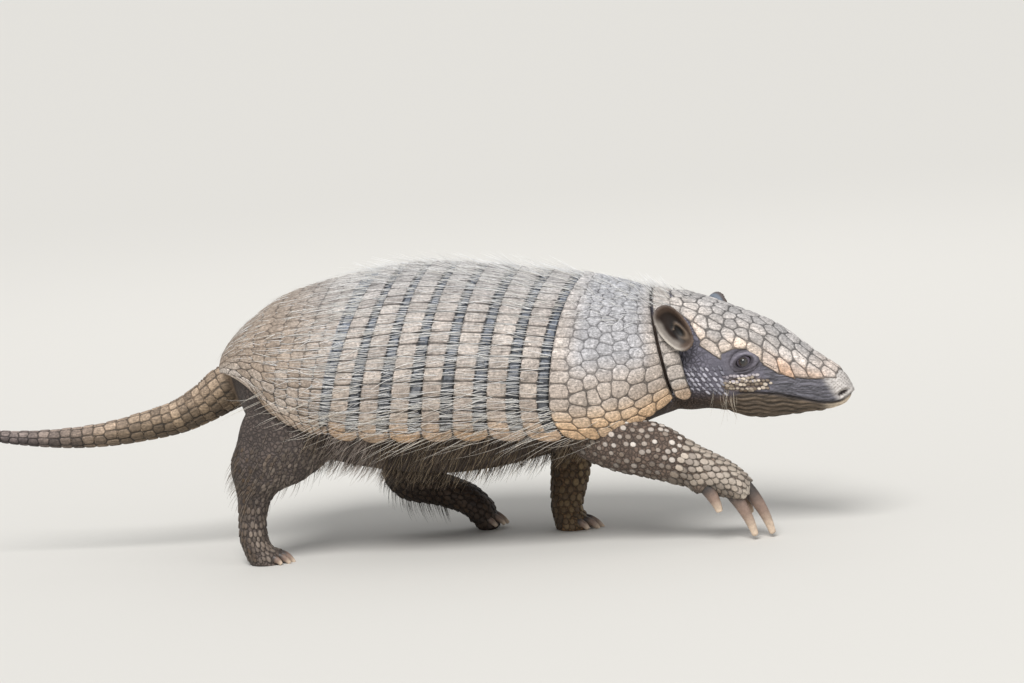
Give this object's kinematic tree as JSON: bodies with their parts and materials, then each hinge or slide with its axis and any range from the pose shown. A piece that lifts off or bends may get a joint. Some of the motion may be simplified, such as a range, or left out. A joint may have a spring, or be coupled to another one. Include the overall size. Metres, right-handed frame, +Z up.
{
  "type": "armadillo",
  "caption": "Life-size still model of a walking armadillo: banded domed shell, pointed shielded head, upright ears, tapering tail and clawed feet that stand on the floor.",
  "frame": {"origin": "middle of the model's underside, on the floor under the body", "axes": "+X towards the nose, +Y towards the animal's left side, +Z up"},
  "size_m": [0.6492, 0.1728, 0.196],
  "materials": {
    "shell_scutes": "dry horny shell scutes, tan with dark blue-grey grooves",
    "head_scutes": "pale tan horny head plates with dark grooves",
    "tail_scutes": "grey-brown tail scales in rings",
    "skin": "wrinkled grey-brown skin with small pale scales",
    "ear_skin": "thin brown ear skin with a pale rim",
    "eye": "wet dark brown, nearly black",
    "claw_horn": "horn, dark at the root and ivory at the tip",
    "hair": "stiff whitish bristles"
  },
  "bodies": {
    "root": {"trunk": "skin", "neck": "skin", "head": "skin", "lower_jaw": "skin", "head_shield": "head_scutes", "nuchal_band": "shell_scutes", "pectoral_shield": "shell_scutes", "band_1": "shell_scutes", "band_2": "shell_scutes", "band_3": "shell_scutes", "band_4": "shell_scutes", "band_5": "shell_scutes", "band_6": "shell_scutes", "band_7": "shell_scutes", "pelvic_shield": "shell_scutes", "ear_right": "ear_skin", "ear_left": "ear_skin", "eye_right": "eye", "eye_left": "eye", "tail_base": "tail_scutes", "tail_middle": "tail_scutes", "tail_tip": "tail_scutes", "hind_right_upper": "skin", "hind_right_lower": "skin", "hind_right_foot": "skin", "hind_right_claw_1": "claw_horn", "hind_right_claw_2": "claw_horn", "hind_right_claw_3": "claw_horn", "hind_right_claw_4": "claw_horn", "hind_right_claw_5": "claw_horn", "hind_left_upper": "skin", "hind_left_lower": "skin", "hind_left_foot": "skin", "hind_left_claw_1": "claw_horn", "hind_left_claw_2": "claw_horn", "hind_left_claw_3": "claw_horn", "hind_left_claw_4": "claw_horn", "hind_left_claw_5": "claw_horn", "fore_left_upper": "skin", "fore_left_lower": "skin", "fore_left_foot": "skin", "fore_left_claw_1": "claw_horn", "fore_left_claw_2": "claw_horn", "fore_left_claw_3": "claw_horn", "fore_left_claw_4": "claw_horn", "fore_left_claw_5": "claw_horn", "fore_right_upper": "skin", "fore_right_lower": "skin", "fore_right_foot": "skin", "fore_right_claw_1": "claw_horn", "fore_right_claw_2": "claw_horn", "fore_right_claw_3": "claw_horn", "fore_right_claw_4": "claw_horn", "fore_right_claw_5": "claw_horn"}
  },
  "joints": []
}
